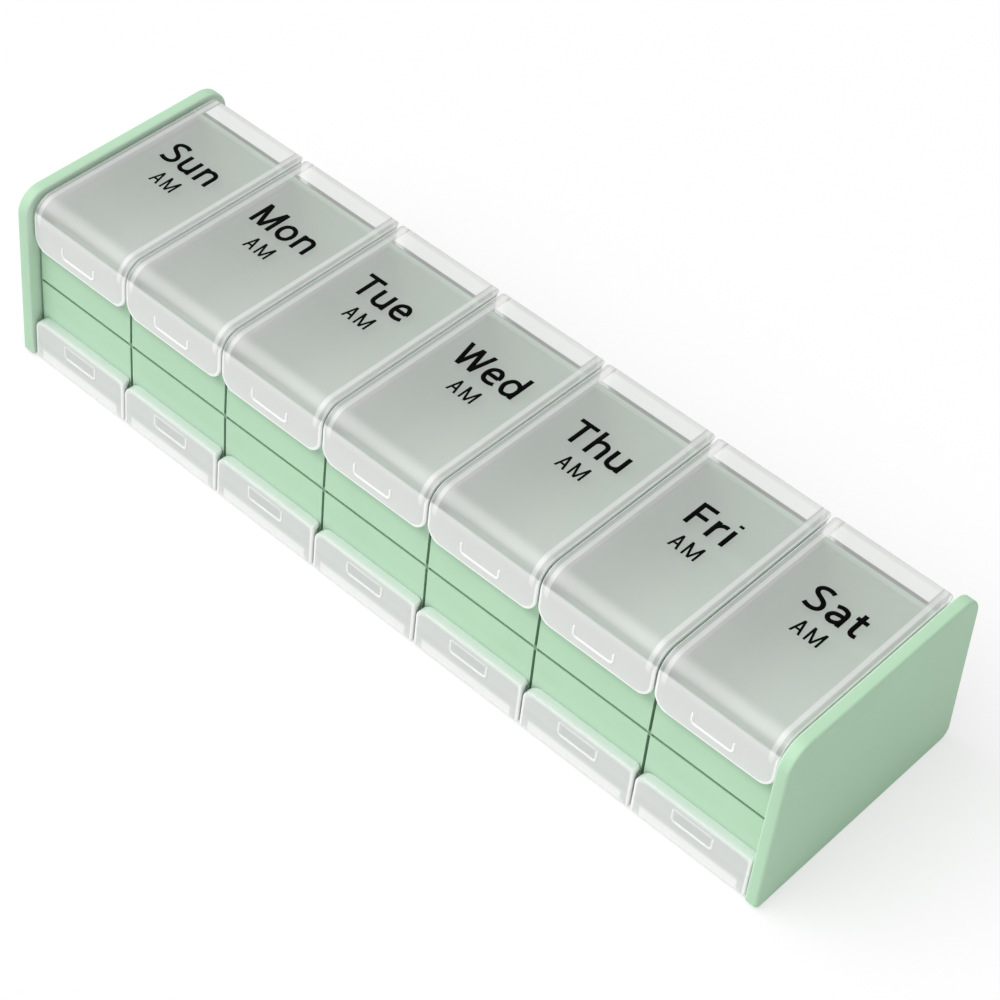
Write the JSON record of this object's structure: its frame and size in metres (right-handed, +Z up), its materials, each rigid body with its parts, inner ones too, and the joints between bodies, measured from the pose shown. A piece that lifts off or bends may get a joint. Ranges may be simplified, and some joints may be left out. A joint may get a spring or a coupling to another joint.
{
  "type": "weekly pill organizer",
  "caption": "Two-sided weekly pill organizer: back-to-back trays between end plates, with a separate frosted hinged lid on each compartment.",
  "frame": {"origin": "on the surface it stands on, below the middle of the body", "axes": "+X from the first day to the last along the row, +Y from the latch side to the hinge side, +Z up through the morning lids"},
  "size_m": [0.2238, 0.0645, 0.0468],
  "materials": {
    "green_plastic": "satin moulded, pale green",
    "frosted_plastic": "frosted, translucent",
    "rod_steel": "bright drawn"
  },
  "bodies": {
    "organizer_body": {"end_plate_left": "green_plastic", "end_plate_right": "green_plastic", "am_tray": "green_plastic", "pm_tray": "green_plastic", "am_hinge_rod": "rod_steel", "pm_hinge_rod": "rod_steel"},
    "am_lid_sun": {"am_lid_sun": "frosted_plastic"},
    "am_lid_mon": {"am_lid_mon": "frosted_plastic"},
    "am_lid_tue": {"am_lid_tue": "frosted_plastic"},
    "am_lid_wed": {"am_lid_wed": "frosted_plastic"},
    "am_lid_thu": {"am_lid_thu": "frosted_plastic"},
    "am_lid_fri": {"am_lid_fri": "frosted_plastic"},
    "am_lid_sat": {"am_lid_sat": "frosted_plastic"},
    "pm_lid_sun": {"pm_lid_sun": "frosted_plastic"},
    "pm_lid_mon": {"pm_lid_mon": "frosted_plastic"},
    "pm_lid_tue": {"pm_lid_tue": "frosted_plastic"},
    "pm_lid_wed": {"pm_lid_wed": "frosted_plastic"},
    "pm_lid_thu": {"pm_lid_thu": "frosted_plastic"},
    "pm_lid_fri": {"pm_lid_fri": "frosted_plastic"},
    "pm_lid_sat": {"pm_lid_sat": "frosted_plastic"}
  },
  "joints": [
    {"name": "am_lid_sun_hinge", "type": "hinge", "parent": "organizer_body", "child": "am_lid_sun", "pos_m": [0, 0.02428, 0.03725], "axis": [-1, 0, 0], "range_deg": [0, 110]},
    {"name": "am_lid_mon_hinge", "type": "hinge", "parent": "organizer_body", "child": "am_lid_mon", "pos_m": [0, 0.02428, 0.03725], "axis": [-1, 0, 0], "range_deg": [0, 110]},
    {"name": "am_lid_tue_hinge", "type": "hinge", "parent": "organizer_body", "child": "am_lid_tue", "pos_m": [0, 0.02428, 0.03725], "axis": [-1, 0, 0], "range_deg": [0, 110]},
    {"name": "am_lid_wed_hinge", "type": "hinge", "parent": "organizer_body", "child": "am_lid_wed", "pos_m": [0, 0.02428, 0.03725], "axis": [-1, 0, 0], "range_deg": [0, 110]},
    {"name": "am_lid_thu_hinge", "type": "hinge", "parent": "organizer_body", "child": "am_lid_thu", "pos_m": [0, 0.02428, 0.03725], "axis": [-1, 0, 0], "range_deg": [0, 110]},
    {"name": "am_lid_fri_hinge", "type": "hinge", "parent": "organizer_body", "child": "am_lid_fri", "pos_m": [0, 0.02428, 0.03725], "axis": [-1, 0, 0], "range_deg": [0, 110]},
    {"name": "am_lid_sat_hinge", "type": "hinge", "parent": "organizer_body", "child": "am_lid_sat", "pos_m": [0, 0.02428, 0.03725], "axis": [-1, 0, 0], "range_deg": [0, 110]},
    {"name": "pm_lid_sun_hinge", "type": "hinge", "parent": "organizer_body", "child": "pm_lid_sun", "pos_m": [0, 0.02428, 0.0088], "axis": [1, 0, 0], "range_deg": [0, 110]},
    {"name": "pm_lid_mon_hinge", "type": "hinge", "parent": "organizer_body", "child": "pm_lid_mon", "pos_m": [0, 0.02428, 0.0088], "axis": [1, 0, 0], "range_deg": [0, 110]},
    {"name": "pm_lid_tue_hinge", "type": "hinge", "parent": "organizer_body", "child": "pm_lid_tue", "pos_m": [0, 0.02428, 0.0088], "axis": [1, 0, 0], "range_deg": [0, 110]},
    {"name": "pm_lid_wed_hinge", "type": "hinge", "parent": "organizer_body", "child": "pm_lid_wed", "pos_m": [0, 0.02428, 0.0088], "axis": [1, 0, 0], "range_deg": [0, 110]},
    {"name": "pm_lid_thu_hinge", "type": "hinge", "parent": "organizer_body", "child": "pm_lid_thu", "pos_m": [0, 0.02428, 0.0088], "axis": [1, 0, 0], "range_deg": [0, 110]},
    {"name": "pm_lid_fri_hinge", "type": "hinge", "parent": "organizer_body", "child": "pm_lid_fri", "pos_m": [0, 0.02428, 0.0088], "axis": [1, 0, 0], "range_deg": [0, 110]},
    {"name": "pm_lid_sat_hinge", "type": "hinge", "parent": "organizer_body", "child": "pm_lid_sat", "pos_m": [0, 0.02428, 0.0088], "axis": [1, 0, 0], "range_deg": [0, 110]}
  ]
}
